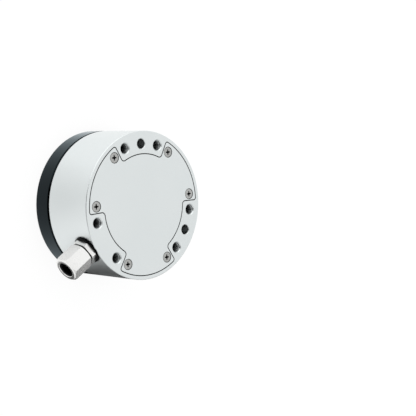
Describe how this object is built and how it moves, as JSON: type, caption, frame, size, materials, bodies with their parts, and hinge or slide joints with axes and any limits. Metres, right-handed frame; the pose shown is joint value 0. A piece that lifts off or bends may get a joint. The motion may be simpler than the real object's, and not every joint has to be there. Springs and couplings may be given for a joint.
{
  "type": "force torque sensor",
  "caption": "Disc-shaped six-axis force torque sensor that bolts between a robot wrist and its tool, with a side cable gland.",
  "frame": {"origin": "centre of the black tool side face, which the sensor stands on", "axes": "+Z along the sensor's axis, from the tool side face to the robot side face; the cable gland points to 210 degrees from +X, and one land with a dowel hole lies on +Y"},
  "size_m": [0.0865, 0.075, 0.0405],
  "materials": {
    "silver_aluminium": "fine bead blasted, clear anodised",
    "black_aluminium": "satin black anodised",
    "element_aluminium": "machined",
    "black_steel": "black oxide",
    "screw_steel": "satin",
    "can_steel": "satin",
    "nickel_plate": "satin nickel plate",
    "brass": "satin",
    "lead_wire": "enamelled",
    "black_rubber": "matte",
    "black_plastic": "matte",
    "grey_plastic": "matte",
    "white_plastic": "matte",
    "ferrite": "matte",
    "gauge_film": "polyimide film",
    "board": "solder mask"
  },
  "bodies": {
    "root": {"housing": "silver_aluminium", "cover_plate": "silver_aluminium", "cover_gasket": "black_rubber", "cover_screws": "screw_steel", "tool_flange": "black_aluminium", "flange_screws": "black_steel", "hub_dowels": "screw_steel", "dust_seal": "black_rubber", "sensing_element": "element_aluminium", "element_screws": "black_steel", "strain_gauges": "gauge_film", "gauge_leads": "lead_wire", "gauge_board": "board", "gauge_board_screws": "screw_steel", "link_header": "black_plastic", "main_board": "board", "board_standoffs": "brass", "board_screws": "screw_steel", "processor": "black_plastic", "converter_chips": "black_plastic", "interface_chip": "black_plastic", "crystal": "can_steel", "capacitors": "grey_plastic", "power_inductor": "ferrite", "cable_header": "white_plastic", "gland_washer": "black_rubber", "gland_body": "nickel_plate", "gland_seal": "black_rubber", "gland_claw": "black_plastic", "gland_nut": "nickel_plate"}
  },
  "joints": []
}
